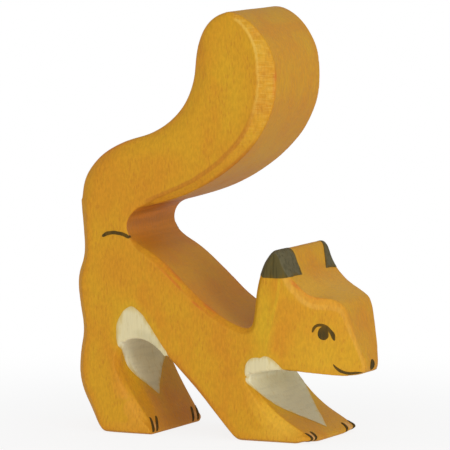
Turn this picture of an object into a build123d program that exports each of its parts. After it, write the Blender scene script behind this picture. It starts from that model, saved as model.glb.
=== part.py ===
from build123d import *
import os
from math import hypot

os.makedirs("parts", exist_ok=True)

# Squirrel figurine: one carved board with painted marks, in millimetres.
# +X is the way it looks, +Z is up, and its right flank lies on the -Y side.

# The board and its coat of paint
THICKNESS = 23.0
EDGE_DEPTH = 1.3
PAINT = 0.1

# How wide the carved edge shows on a flank
TAIL_EDGE = 3.1
TAIL_ROOT_EDGE = 2.2
LEG_EDGE = 1.9
HAUNCH_EDGE = 1.3
BACK_EDGE = 1.0
SLIGHT_EDGE = 0.6
TOE_EDGE = 0.4

# Landmarks of the outline, along the board (x) and up from the floor (z)
HIND_TOE_X = -12.3
HIND_SOLE = 9.3
FORE_TOE_X = 19.6
FORE_SOLE = 13.0
RUMP_X = -28.4
RUMP_Z = 29.4
CROOK_X = -18.2
CROOK_Z = 39.4
TAIL_ROOT_X = -24.4
TAIL_ROOT_ABOVE_CROOK = 12.7
TAIL_TOP_X = 3.2
TAIL_RISE = 28.5
NAPE_X = 7.5
NAPE_Z = 20.7
EAR_RISE = 15.4
THROAT_X = 6.9
THROAT_Z = 11.9
ARCH_X = -17.5
ARCH_Z = 18.4

# Plan of the head, whose sides close in from the cheek to the nose
CHEEK_FROM_NAPE = 5.8
TEMPLE_FROM_NAPE = 14.5
TEMPLE_FROM_FLANK = 2.9
NOSE_FROM_NAPE = 20.7
NOSE_HALF_WIDTH = 3.0

# Marks on the head
PUPIL_WIDTH = 1.9
PUPIL_HEIGHT = 2.7
MOUTH_STROKE = 0.4
NOSE_SPOT_WIDTH = 2.2
NOSE_SPOT_HEIGHT = 1.8
NOSE_SPOT_DROP = 6.5
EAR_MARK_HEIGHT = 5.0
EAR_MARK_WIDTH_AT_RIDGE = {"right": 6.5, "left": 2.9}
EAR_MARK_WIDTH_AT_BASE = {"right": 6.5, "left": 5.7}

# Marks on the body
TAIL_STROKE = 0.55
HAUNCH_TONGUE_Z = 6.5
BIB_TONGUE_Z = 2.0
TONGUE_BULGE_FROM_FLANK = 3.8
TONGUE_BULGE_RISE = 4.9
TONGUE_RISE = 8.7
CLAW_WIDTH = 0.8
CLAW_PITCH = 2.6
CLAW_FROM_FLANK = 1.6
CLAW_FLOOR_GAP = 0.3
HIND_CLAW_LENGTH = 2.8
FORE_CLAW_LENGTH = 2.0

FLANK = THICKNESS / 2
RIM = FLANK - EDGE_DEPTH
SIDES = {"right": -1, "left": 1}
FEET = {"hind": (HIND_TOE_X, HIND_CLAW_LENGTH), "fore": (FORE_TOE_X, FORE_CLAW_LENGTH)}
STRAIGHT = 1e-6


def stretch(x, z, edge, *steps):
    """Corner points of one stretch of the outline: steps from a landmark, and its carved edge's width."""
    return [(x + dx, z + dz, edge) for dx, dz in steps]


def around(x, z, *steps):
    """Points of a mark, by their steps from a landmark."""
    return [(x + dx, z + dz) for dx, dz in steps]


TAIL_ROOT_Z = CROOK_Z + TAIL_ROOT_ABOVE_CROOK
TAIL_TOP_Z = TAIL_ROOT_Z + TAIL_RISE
NOSE_X = NAPE_X + NOSE_FROM_NAPE
HEEL_X = HIND_TOE_X - HIND_SOLE
WRIST_X = FORE_TOE_X - FORE_SOLE
OUTLINE = (
    # Sole of the hind foot, then up the haunch to the root of the tail
    stretch(HIND_TOE_X, 0, TOE_EDGE, (0, 0), (-1.7, 0))
    + stretch(HEEL_X, 0, SLIGHT_EDGE, (0, 0), (-1.8, 0.2))
    + stretch(HEEL_X, 0, HAUNCH_EDGE, (-3.7, 4.0))
    + stretch(RUMP_X, RUMP_Z, HAUNCH_EDGE, (0.4, -19.8), (0.5, -14.6), (1.5, -9.8), (0.4, -4.8))
    + stretch(RUMP_X, RUMP_Z, HAUNCH_EDGE, (0, 0), (1.7, 4.2), (1.2, 9.8))
    # Back of the tail, over its top and down its front to the crook
    + stretch(TAIL_ROOT_X, TAIL_ROOT_Z, TAIL_ROOT_EDGE, (-3.5, -5.1), (0, 0), (4.9, 3.0))
    + stretch(TAIL_ROOT_X, TAIL_ROOT_Z, TAIL_EDGE, (11.8, 4.8), (17.0, 8.6))
    + stretch(TAIL_TOP_X, TAIL_TOP_Z, TAIL_EDGE, (-7.6, -14.4), (-7.1, -7.6), (-4.6, -2.3), (0, 0))
    + stretch(TAIL_TOP_X, TAIL_TOP_Z, TAIL_EDGE, (4.9, -2.3), (8.6, -7.2), (9.6, -12.6), (8.9, -18.7))
    + stretch(TAIL_TOP_X, TAIL_TOP_Z, TAIL_EDGE, (5.6, -24.8))
    + stretch(CROOK_X, CROOK_Z, TAIL_EDGE, (21.3, 11.0), (13.6, 6.5))
    + stretch(CROOK_X, CROOK_Z, BACK_EDGE, (5.6, 4.0))
    + stretch(CROOK_X, CROOK_Z, SLIGHT_EDGE, (1.5, 3.0), (0, 0), (1.4, -2.9))
    # Down the back to the nape, then over the ear and the forehead to the nose and chin
    + stretch(CROOK_X, CROOK_Z, BACK_EDGE, (6.4, -5.5), (11.6, -10.0))
    + stretch(NAPE_X, NAPE_Z, BACK_EDGE, (-9.4, 4.4), (-3.9, 1.1), (0, 0), (1.1, 3.0), (1.6, 8.4))
    + stretch(NAPE_X, NAPE_Z + EAR_RISE, BACK_EDGE, (3.0, -2.7))
    + stretch(NAPE_X, NAPE_Z + EAR_RISE, SLIGHT_EDGE, (4.7, 0), (6.5, -0.3), (7.7, -4.1))
    + stretch(NAPE_X, NAPE_Z, SLIGHT_EDGE, (10.5, 8.1), (15.1, 6.5))
    + stretch(NOSE_X, NAPE_Z, SLIGHT_EDGE, (-2.8, 5.1), (-1.8, 0.7), (0, -5.3), (0.1, -7.5), (-1.7, -8.3))
    # Jaw, throat and front of the forelegs, then the sole of the fore foot
    + stretch(THROAT_X, THROAT_Z, SLIGHT_EDGE, (15.7, 0.9), (9.1, 1.7), (2.8, 1.6), (0, 0), (1.6, -2.1))
    + stretch(FORE_TOE_X, 0, LEG_EDGE, (-6.8, 5.4), (-1.5, 2.3))
    + stretch(FORE_TOE_X, 0, TOE_EDGE, (0.7, 0.9), (0, 0), (-1.3, 0))
    + stretch(WRIST_X, 0, SLIGHT_EDGE, (0, 0), (-1.8, 0), (-3.4, 1.5))
    # Back of the forelegs, the arch between the legs and the front of the hind legs
    + stretch(ARCH_X, ARCH_Z, SLIGHT_EDGE, (14.7, -10.0), (9.1, -4.4), (4.7, -0.3), (0, 0), (-2.2, -3.1))
    + stretch(HIND_TOE_X, 0, LEG_EDGE, (-5.3, 10.2), (-1.6, 4.0))
    + stretch(HIND_TOE_X, 0, TOE_EDGE, (-0.2, 1.6))
)

HAUNCH_PATCH = around(ARCH_X, ARCH_Z, (-1.4, -3.4), (-2.6, 1.0), (-0.9, 5.4), (1.9, 6.6))
HAUNCH_PATCH += around(ARCH_X, ARCH_Z, (4.2, 3.9), (6.2, 0.3), (9.2, -4.0), (4.0, -5.0))
BIB_PATCH = around(THROAT_X, THROAT_Z, (0, -0.9), (-0.1, 2.0), (1.2, 4.1), (3.9, 4.3))
BIB_PATCH += around(THROAT_X, THROAT_Z, (6.2, 2.9), (10.2, 1.9), (9.5, 0.4), (3.0, -3.4))
LID = around(NAPE_X, NAPE_Z, (12.1, 0.3), (12.8, 1.4), (13.8, 1.8), (14.9, 1.5), (15.7, 0.7), (16.1, -0.4))
LID += around(NAPE_X, NAPE_Z, (16.0, -1.7), (15.7, -1.0), (15.3, 0.0), (14.5, 0.7), (13.6, 1.1), (12.8, 0.7))
PUPIL = (NAPE_X + 14.1, NAPE_Z + 0.2)
MOUTH = around(NAPE_X, NAPE_Z, (15.7, -5.8), (16.8, -7.1), (19.6, -7.7))
TAIL_MARK = around(CROOK_X, CROOK_Z, (-4.2, -1.9), (-1.7, -1.15), (0.3, -1.6))


def inward(before, point, after):
    """Step into the wood at a corner point that moves both of its sides in by one."""
    ux, uz = point[0] - before[0], point[1] - before[1]
    vx, vz = after[0] - point[0], after[1] - point[1]
    u, v = hypot(ux, uz), hypot(vx, vz)
    along_x, along_z = ux / u + vx / v, uz / u + vz / v
    square = along_x**2 + along_z**2
    return 2 * along_z / square, -2 * along_x / square


def inset(corners, widths):
    """The corner points, each moved into the wood by its width."""
    moved = []
    for i, ((x, z), width) in enumerate(zip(corners, widths)):
        dx, dz = inward(corners[i - 1], (x, z), corners[(i + 1) % len(corners)])
        moved.append((x + width * dx, z + width * dz))
    return moved


def soft_face(corners, plane=Plane.XZ):
    """A face with a smooth rim, which touches the middles of the sides between its corner points."""
    edges = []
    for i, (x, z) in enumerate(corners):
        (x0, z0), (x1, z1) = corners[i - 1], corners[(i + 1) % len(corners)]
        places = ((x0 + x) / 2, (z0 + z) / 2), (x, z), ((x + x1) / 2, (z + z1) / 2)
        start, corner, end = [plane.from_local_coords(Vector(*place)) for place in places]
        in_line = abs((x - x0) * (z1 - z) - (z - z0) * (x1 - x)) < STRAIGHT
        edges.append(Edge.make_line(start, end) if in_line else Edge.make_bezier(start, corner, end))
    return Face(Wire(edges))


def carved_board(growth):
    """The board with carved edges and a tapered head, every face moved out by the growth."""
    corners = [(x, z) for x, z, edge in OUTLINE]
    outer = inset(corners, [-growth for corner in corners])
    inner = inset(corners, [edge - growth for x, z, edge in OUTLINE])
    rim, flank = RIM + growth, FLANK + growth
    with BuildPart() as board:
        extrude(soft_face(outer), amount=rim, both=True, clean=False)
        for side in SIDES.values():
            at_rim = soft_face(outer, Plane.XZ.offset(-side * rim))
            at_flank = soft_face(inner, Plane.XZ.offset(-side * flank))
            loft([at_rim, at_flank], ruled=True, clean=False)
        for side in SIDES.values():
            cheek = (NAPE_X + CHEEK_FROM_NAPE, side * flank)
            temple = (NAPE_X + TEMPLE_FROM_NAPE, side * (flank - TEMPLE_FROM_FLANK))
            nose = (NOSE_X + growth, side * (NOSE_HALF_WIDTH + growth))
            beyond, outside = nose[0] + EDGE_DEPTH, side * THICKNESS
            with BuildSketch(Plane.XY.offset(THROAT_Z - EDGE_DEPTH)):
                with BuildLine():
                    ThreePointArc(cheek, temple, nose)
                    Polyline(nose, (beyond, nose[1]), (beyond, outside), (cheek[0], outside), cheek)
                make_face()
            extrude(amount=NAPE_Z + EAR_RISE, mode=Mode.SUBTRACT, clean=False)
    return board.part


def tongue(tip, top):
    """Front view of a white tongue of paint, as wide as the board above and pointed below."""
    half = (FLANK - TONGUE_BULGE_FROM_FLANK, tip + TONGUE_BULGE_RISE), (FLANK, tip + TONGUE_RISE), (FLANK, top)
    return [(0, tip), *half, *((-y, z) for y, z in reversed(half))]


def ear_corner(name, side):
    """Front view of the dark corner of the ear ridge on one flank."""
    ridge = NAPE_Z + EAR_RISE
    base, above, outside = ridge - EAR_MARK_HEIGHT, ridge + EDGE_DEPTH, FLANK + EDGE_DEPTH
    at_ridge, at_base = FLANK - EAR_MARK_WIDTH_AT_RIDGE[name], FLANK - EAR_MARK_WIDTH_AT_BASE[name]
    corners = (outside, base), (at_base, base), (at_ridge, ridge), (at_ridge, above), (outside, above)
    return [(side * y, z) for y, z in corners]


with BuildPart() as carved_body:
    add(carved_board(0))
carved_body.part.label = "carved_body"
export_step(carved_body.part, "parts/carved_body.step")

# Each mark is the coat of paint inside a stencil: the grown board there, less the wood itself.
coat = carved_board(PAINT)

with BuildPart() as white_haunch_patch:
    extrude(soft_face(HAUNCH_PATCH), amount=THICKNESS, both=True)
    with BuildSketch(Plane.YZ.offset(ARCH_X - LEG_EDGE)):
        Polygon(*tongue(HAUNCH_TONGUE_Z, ARCH_Z), align=None)
    extrude(amount=HIND_TOE_X - ARCH_X, both=True)
    add(coat, mode=Mode.INTERSECT)
    add(carved_body.part, mode=Mode.SUBTRACT)
white_haunch_patch.part.label = "white_haunch_patch"
export_step(white_haunch_patch.part, "parts/white_haunch_patch.step")

with BuildPart() as white_bib:
    extrude(soft_face(BIB_PATCH), amount=THICKNESS, both=True)
    with BuildSketch(Plane.YZ.offset(THROAT_X)):
        Polygon(*tongue(BIB_TONGUE_Z, THROAT_Z), align=None)
    extrude(amount=FORE_TOE_X - THROAT_X)
    add(coat, mode=Mode.INTERSECT)
    add(carved_body.part, mode=Mode.SUBTRACT)
white_bib.part.label = "white_bib"
export_step(white_bib.part, "parts/white_bib.step")

with BuildPart() as nose_spot:
    with BuildSketch(Plane.YZ.offset(NAPE_X + TEMPLE_FROM_NAPE)):
        with Locations((0, NAPE_Z - NOSE_SPOT_DROP)):
            Ellipse(NOSE_SPOT_WIDTH / 2, NOSE_SPOT_HEIGHT / 2)
    extrude(amount=THICKNESS)
    add(coat, mode=Mode.INTERSECT)
    add(carved_body.part, mode=Mode.SUBTRACT)
nose_spot.part.label = "nose_spot"
export_step(nose_spot.part, "parts/nose_spot.step")

for name, side in SIDES.items():
    outwards = -side * THICKNESS

    with BuildPart() as ear_tip:
        with BuildSketch(Plane.YZ.offset(NAPE_X)):
            Polygon(*ear_corner(name, side), align=None)
        extrude(amount=TEMPLE_FROM_NAPE)
        add(coat, mode=Mode.INTERSECT)
        add(carved_body.part, mode=Mode.SUBTRACT)
    ear_tip.part.label = f"{name}_ear_tip"
    export_step(ear_tip.part, f"parts/{name}_ear_tip.step")

    with BuildPart() as eye:
        extrude(soft_face(LID), amount=THICKNESS, dir=(0, side, 0))
        with BuildSketch(Plane.XZ):
            with Locations(PUPIL):
                Ellipse(PUPIL_WIDTH / 2, PUPIL_HEIGHT / 2)
        extrude(amount=outwards)
        add(coat, mode=Mode.INTERSECT)
        add(carved_body.part, mode=Mode.SUBTRACT)
    eye.part.label = f"{name}_eye"
    export_step(eye.part, f"parts/{name}_eye.step")

    with BuildPart() as mouth:
        with BuildSketch(Plane.XZ):
            with BuildLine() as lips:
                ThreePointArc(*MOUTH)
            SlotArc(lips.wire(), MOUTH_STROKE)
        extrude(amount=outwards)
        add(coat, mode=Mode.INTERSECT)
        add(carved_body.part, mode=Mode.SUBTRACT)
    mouth.part.label = f"{name}_mouth"
    export_step(mouth.part, f"parts/{name}_mouth.step")

    with BuildPart() as tail_stroke:
        with BuildSketch(Plane.XZ):
            with BuildLine() as brush:
                ThreePointArc(*TAIL_MARK)
            SlotArc(brush.wire(), TAIL_STROKE)
        extrude(amount=outwards)
        add(coat, mode=Mode.INTERSECT)
        add(carved_body.part, mode=Mode.SUBTRACT)
    tail_stroke.part.label = f"{name}_tail_stroke"
    export_step(tail_stroke.part, f"parts/{name}_tail_stroke.step")

    for foot, (toe, length) in FEET.items():
        outer_claw = side * (FLANK - CLAW_FROM_FLANK)
        inner_claw = outer_claw - side * CLAW_PITCH
        middle = CLAW_FLOOR_GAP + length / 2
        with BuildPart() as claws:
            with BuildSketch(Plane.YZ.offset(toe)):
                with Locations((outer_claw, middle), (inner_claw, middle)):
                    RectangleRounded(CLAW_WIDTH, length, CLAW_WIDTH / 3)
            extrude(amount=2 * length, both=True)
            add(coat, mode=Mode.INTERSECT)
            add(carved_body.part, mode=Mode.SUBTRACT)
        claws.part.label = f"{name}_{foot}_claws"
        export_step(claws.part, f"parts/{name}_{foot}_claws.step")
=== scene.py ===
"""Looks of the painted wooden squirrel: its carved body, its coats of paint and the studio around it."""

from math import cos, radians, sin
from types import SimpleNamespace

import bmesh
import bpy
import numpy as np
from bpy.props import FloatProperty, FloatVectorProperty, IntProperty, PointerProperty
from bpy.types import Operator, Panel, PropertyGroup
from mathutils import Matrix, Vector, noise
from mathutils.bvhtree import BVHTree
from mathutils.kdtree import KDTree


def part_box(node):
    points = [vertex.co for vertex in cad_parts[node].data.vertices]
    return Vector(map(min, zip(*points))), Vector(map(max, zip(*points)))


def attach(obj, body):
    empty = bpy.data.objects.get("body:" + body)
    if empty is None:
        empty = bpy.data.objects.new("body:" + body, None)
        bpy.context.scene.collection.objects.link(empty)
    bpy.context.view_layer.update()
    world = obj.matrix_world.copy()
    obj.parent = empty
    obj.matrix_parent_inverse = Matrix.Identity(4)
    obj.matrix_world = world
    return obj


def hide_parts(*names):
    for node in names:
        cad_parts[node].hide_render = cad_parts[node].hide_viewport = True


bl_info = {
    "name": "Painted wooden squirrel",
    "version": (1, 0, 0),
    "blender": (4, 5, 0),
    "location": "View3D > Sidebar > Squirrel",
    "description": "Carves the squirrel from its packed board, paints it by brush and sets up the studio",
    "category": "Object",
}

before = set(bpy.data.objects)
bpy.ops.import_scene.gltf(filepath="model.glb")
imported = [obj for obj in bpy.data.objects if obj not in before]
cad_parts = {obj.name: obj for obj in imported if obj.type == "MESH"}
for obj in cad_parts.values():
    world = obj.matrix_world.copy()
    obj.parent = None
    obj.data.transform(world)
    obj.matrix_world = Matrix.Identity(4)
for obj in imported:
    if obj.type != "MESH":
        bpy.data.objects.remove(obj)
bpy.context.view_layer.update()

MM = 0.001
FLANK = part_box("carved_body")[1].y
SIDES = {"right": -1, "left": 1}

# Outlines of the marks, in millimetres, as corner points that the rim of the paint runs between.
# Seen on a flank: along the board, then up.
HAUNCH_PATCH = (
    (-18.9, 15.0), (-19.4, 16.8), (-19.8, 19.5), (-19.2, 21.9), (-17.9, 23.6), (-16.7, 24.3), (-15.4, 23.9),
    (-13.9, 22.4), (-12.4, 20.2), (-10.6, 17.8), (-8.6, 15.1), (-9.4, 13.8), (-17.4, 13.4),
)
BIB_PATCH = (
    (9.3, 9.4), (8.4, 10.2), (7.4, 11.1), (6.9, 12.5), (7.0, 14.4), (8.0, 15.7), (9.4, 15.9), (10.1, 15.7),
    (10.9, 16.3), (12.1, 15.9), (13.4, 14.8), (14.2, 13.9), (15.8, 13.3), (16.2, 12.6), (14.0, 10.8),
    (10.4, 9.2),
)
LID = (
    (19.6, 20.8), (19.8, 21.8), (20.5, 22.4), (21.1, 22.5), (21.8, 22.4), (22.4, 22.0), (22.9, 21.4),
    (23.4, 20.7), (23.6, 20.0), (23.5, 19.0), (22.9, 20.0), (22.6, 20.8), (22.3, 21.4), (21.8, 21.8),
    (21.1, 22.0), (20.4, 21.8), (19.9, 20.9),
)
PUPIL = (
    (20.6, 20.6), (20.9, 21.6), (21.6, 22.1), (22.3, 21.6), (22.5, 20.6), (22.3, 19.7), (21.6, 19.3),
    (20.9, 19.7),
)
MOUTH = (
    (23.0, 15.2), (23.8, 14.1), (25.2, 13.3), (27.0, 13.2), (27.4, 12.9), (25.2, 12.7), (23.5, 13.7),
)
TAIL_STROKE = (
    (-22.7, 37.6), (-21.3, 38.25), (-19.6, 38.4), (-18.0, 38.05), (-16.9, 37.5), (-17.0, 36.9),
    (-18.3, 37.45), (-19.8, 37.75), (-21.2, 37.6), (-22.6, 37.0),
)
# Seen from the front: across the board from its middle, then up. A tongue starts at its sharp tip.
HAUNCH_TONGUE = (
    (-1.6, 6.6), (-4.6, 8.9), (-6.9, 10.4), (-8.0, 12.2), (-8.5, 14.0), (-9.3, 14.9), (-10.2, 15.7),
    (-11.2, 17.6), (-11.2, 19.0), (11.2, 19.0), (11.2, 16.4), (10.2, 14.2), (8.2, 12.9), (4.0, 10.7),
)
BIB_TONGUE = (
    (0.0, 2.0), (-3.6, 4.4), (-7.2, 6.1), (-9.0, 7.7), (-10.1, 9.0), (-11.2, 11.2), (-11.2, 12.4),
    (11.2, 12.4), (11.2, 11.0), (10.1, 9.0), (8.9, 7.3), (5.6, 4.7),
)
RIGHT_EAR = (
    (-12.8, 37.4), (-12.8, 31.0), (-11.6, 30.8), (-11.0, 31.1), (-8.9, 31.2), (-5.6, 31.1), (-5.1, 32.6),
    (-5.3, 37.4),
)
LEFT_EAR = (
    (12.8, 37.4), (12.8, 31.0), (9.5, 31.1), (7.9, 31.3), (5.6, 31.3), (7.3, 33.0), (7.9, 34.5),
    (10.4, 37.4),
)
NOSE_SPOT = (
    (-1.1, 14.4), (-0.4, 15.2), (0.4, 15.2), (1.1, 14.4), (0.9, 13.5), (0.0, 13.1), (-0.9, 13.5),
)
# Shape of one stroke of the claws: how much of its lean it has taken, then across and up.
HIND_CLAW = (
    (0.0, -0.3, 3.3), (0.45, -0.45, 2.2), (1.0, -0.4, 0.5), (1.0, 0.4, 0.4), (0.45, 0.4, 2.0),
    (0.0, 0.25, 3.1),
)
FORE_CLAW = (
    (0.0, -0.35, 2.1), (0.3, -0.4, 1.5), (1.0, -0.3, 0.5), (1.0, 0.3, 0.4), (0.3, 0.4, 1.3),
    (0.0, 0.3, 2.0),
)
# The two strokes of each foot: the top's place across the board, the lean and the breadth.
CLAW_LINES = {
    "hind": {"right": ((-9.5, -1.0, 0.8), (-7.3, -1.8, 1.0)), "left": ((8.2, -1.3, 1.0), (10.3, -1.2, 1.0))},
    "fore": {"right": ((-9.8, -0.4, 1.0), (-7.5, -1.2, 1.3)), "left": ((6.9, -1.0, 1.1), (10.0, -1.0, 1.2))},
}

# Sizes of the hand carving, in millimetres.
# The crease behind the cheek: its low end along the board and up, then how far it leans and rises from there.
CREASE_X = 11.1
CREASE_Z = 16.1
CREASE_LEAN = 2.8
CREASE_RISE = 15
NOSE_X = 28.2
HEAD_HALF_WIDTH = 11.5
MUZZLE_NARROWING = 8.5
MUZZLE_FULLNESS = 0.7
MUZZLE_SET_BACK = 0.58
FOREHEAD_DROP = 0.8
NAPE_FILL = 0.3
TOE_CUT = 0.9
TOE_CUT_RUN = 2.6
TOE_LIFT = 0.5
HIND_LEG_EASE = 1.5
TAIL_EDGE = 1.3
TAIL_TOP_WIDENING = 0.9
CRISP_EDGE = 0.6
CRISP_START = 10.2
CRISP_RUN = 1.3
GRAIN_DEPTH = 0.03

# Where the stain is uneven: its colour, the middle of the place and its reach in millimetres, and how strong.
STAINS = (
    ("yellow", (10.2, 0, 24.0), (4.2, 40, 11.0), 0.95),
    ("yellow", (5.0, 0, 66.0), (6.0, 40, 15.0), 0.55),
    ("yellow", (21.0, 0, 16.0), (9.0, 40, 7.0), 0.3),
    ("yellow", (13.0, 0, 5.0), (8.0, 40, 7.0), 0.6),
    ("orange", (-18.0, 0, 46.0), (12.0, 40, 12.0), 0.6),
    ("orange", (-1.0, 0, 27.0), (9.0, 40, 6.0), 0.5),
    ("orange", (6.0, 0, 17.0), (5.0, 40, 10.0), 0.45),
    ("orange", (-22.0, 0, 18.0), (4.0, 40, 9.0), 0.5),
    ("orange", (-20.6, 0, 16.0), (2.8, 40, 3.4), 0.6),
    ("orange", (17.5, 0, 25.0), (4.0, 40, 4.0), 0.4),
    ("orange", (9.0, 0, 76.3), (2.0, 40, 2.0), 0.8),
    ("orange", (10.2, 0, 62.8), (2.0, 40, 2.6), 0.8),
    ("orange", (-6.8, 0, 72.0), (3.4, 40, 8.5), 0.9),
    ("red", (-7.2, 0, 73.0), (2.2, 40, 6.5), 0.12),
    ("orange", (-8.5, 0, 50.5), (7.0, 40, 5.0), 0.65),
    ("orange", (-20.0, 0, 32.0), (7.0, 40, 8.0), 0.8),
    ("orange", (-24.0, 0, 46.0), (5.0, 40, 9.0), 0.4),
    ("orange", (-19.5, 0, 11.0), (3.0, 40, 7.0), 0.6),
    ("orange", (-14.0, 0, 31.0), (10.0, 40, 8.0), 0.3),
    ("red", (-19.8, 0, 15.0), (2.2, 40, 3.0), 0.12),
    ("bare_and_highlight", (15.0, 0, 3.0), (6.0, 40, 5.0), 0.22),
)
# The same on faces that don't look out of a flank.
SOAKED = (
    ("brown", (-15.5, 0, 40.5), (9.0, 60, 8.5), 0.86),
    ("red", (-15.5, 0, 40.5), (7.0, 60, 6.0), 0.18),
    ("brown", (-12.5, 0, 1.5), (3.2, 40, 3.5), 0.6),
    ("brown", (12.0, 0, 58.0), (9.0, 60, 9.0), 0.25),
    ("red", (13.5, 0, 61.5), (5.0, 60, 5.5), 0.09),
    ("brown", (17.0, 0, 6.0), (6.0, 40, 7.0), 0.58),
    ("brown", (-14.0, 0, 6.0), (5.0, 60, 8.0), 0.25),
    ("bare_and_highlight", (19.5, 0, 29.0), (6.0, 60, 5.0), 0.2),
    ("orange", (19.5, 0, 29.0), (6.0, 60, 5.0), 0.2),
    ("bare_and_highlight", (10.0, 0, 74.0), (9.0, 60, 8.0), 0.06),
    ("bright_stain_and_highlight", (21.0, 0, 27.5), (7.0, 60, 5.0), 0.35),
)
# Painted shade: the grey strip on the white of the haunch, along the edge of the arch.
ARCH_SHADE = (
    ("white_arch_shade", (-14.6, 0, 19.2), (2.6, 40, 1.3), 0.35),
    ("white_arch_shade", (-12.9, 0, 18.5), (2.4, 40, 1.4), 0.35),
    ("white_arch_shade", (-11.5, 0, 17.3), (2.0, 40, 1.5), 0.35),
)
# Where a red line runs along the edges.
RED_EDGES = (
    ((-2.0, 0, 29.0), (14.0, 40, 10.0)),
    ((-16.0, 0, 40.5), (4.5, 40, 5.0)),
    ((13.0, 0, 66.5), (4.0, 40, 5.0)),
    ((-4.0, 0, 72.0), (6.0, 40, 7.0)),
    ((-20.0, 0, 52.0), (9.0, 40, 5.0)),
)
# Painted highlight: bright bands on the edge facets down the front of the fore and the hind leg, laid as the
# stains are.
LIT_EDGE_BANDS = (
    ("bright_stain_and_highlight", (13.0, 0, 6.0), (9.0, 40, 9.0), 0.6),
    ("brow_stain", (-16.0, 0, 6.0), (8.0, 40, 10.0), 0.6),
)
# The paler wood between the two strokes of each pair of claws.
NAILS = (
    ("nail", (19.4, -8.8, 1.1), (1.6, 1.1, 1.5), 0.7),
    ("nail", (19.4, 8.0, 1.1), (1.6, 1.3, 1.5), 0.7),
    ("nail", (-11.2, -9.2, 1.8), (2.6, 0.9, 2.0), 0.7),
    ("nail", (-11.2, 8.6, 1.8), (2.6, 0.9, 2.0), 0.7),
)
# Where a saw left lines across the board, in the crook of the tail, lighter and darker as painted light and
# shade of the cuts.
SAW_CUTS_AND_SHADE = (-13.0, 0, 41.0), (11.0, 60, 7.0)
# Painted shade: dark lines along the edges under the tail and behind the forelegs.
SHADED_EDGES = (
    ((3.0, 0, 52.0), (16.0, 40, 9.0)),
    ((-5.0, 0, 8.0), (9.0, 40, 11.0)),
)


class SquirrelWood(PropertyGroup):
    """Sizes and colours of the carved, stained board."""

    grid: FloatProperty(
        name="Grid", description="Spacing of the mesh that is carved",
        default=0.18 * MM, unit="LENGTH", precision=5,
    )
    faces: IntProperty(name="Faces", description="Triangles that the finished body keeps", default=190000)
    sanding: IntProperty(name="Sanding", description="Passes of sandpaper over the whole body", default=2)
    nose_sanding: IntProperty(name="Nose sanding", description="Further passes over the nose", default=30)
    brow_sanding: IntProperty(
        name="Brow sanding", description="Further passes over the corner of the brow", default=8
    )
    tail_sanding: IntProperty(
        name="Tail sanding", description="Further passes over the back of the tail", default=90
    )
    brow: FloatProperty(
        name="Brow", description="Width of the facet along the head's edges",
        default=1.7 * MM, unit="LENGTH", precision=5,
    )
    unevenness: FloatProperty(
        name="Unevenness", description="Height of the hand-sanded waves",
        default=0.05 * MM, unit="LENGTH", precision=5,
    )
    golden: FloatVectorProperty(
        name="Golden", description="Stain where it is thin", default=(0.60, 0.30, 0.014), subtype="COLOR"
    )
    orange: FloatVectorProperty(
        name="Orange", description="Stain where it is thicker",
        default=(0.59, 0.245, 0.014), subtype="COLOR",
    )
    # Also painted highlight on the crease behind the cheek.
    yellow: FloatVectorProperty(
        name="Yellow", description="Pale stain at the neck and round the white",
        default=(0.61, 0.36, 0.016), subtype="COLOR",
    )
    red: FloatVectorProperty(
        name="Red", description="Stain soaked into the edges", default=(0.57, 0.12, 0.02), subtype="COLOR"
    )
    # Pale stain thin on the ridges, also used as painted highlight on the creases of the tail and the brow.
    bare_and_highlight: FloatVectorProperty(
        name="Bare", description="Stain rubbed thin on the ridges",
        default=(0.80, 0.52, 0.10), subtype="COLOR",
    )
    # Painted highlight on the edge facets of the legs, and a bright patch on the front of the brow.
    bright_stain_and_highlight: FloatVectorProperty(
        name="Rubbed", description="Bright stain on the rubbed edge of the foreleg",
        default=(0.74, 0.41, 0.03), subtype="COLOR",
    )
    nail: FloatVectorProperty(
        name="Nail", description="Pale wood between the claws", default=(0.70, 0.40, 0.17), subtype="COLOR"
    )
    brow_stain: FloatVectorProperty(
        name="Brow stain", description="Stain along the brow", default=(0.68, 0.30, 0.03), subtype="COLOR"
    )
    # Also painted shade low on the tail's facet and along the edges under the tail and behind the forelegs.
    brown: FloatVectorProperty(
        name="Brown", description="Stain in the end grain", default=(0.47, 0.17, 0.014), subtype="COLOR"
    )


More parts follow.
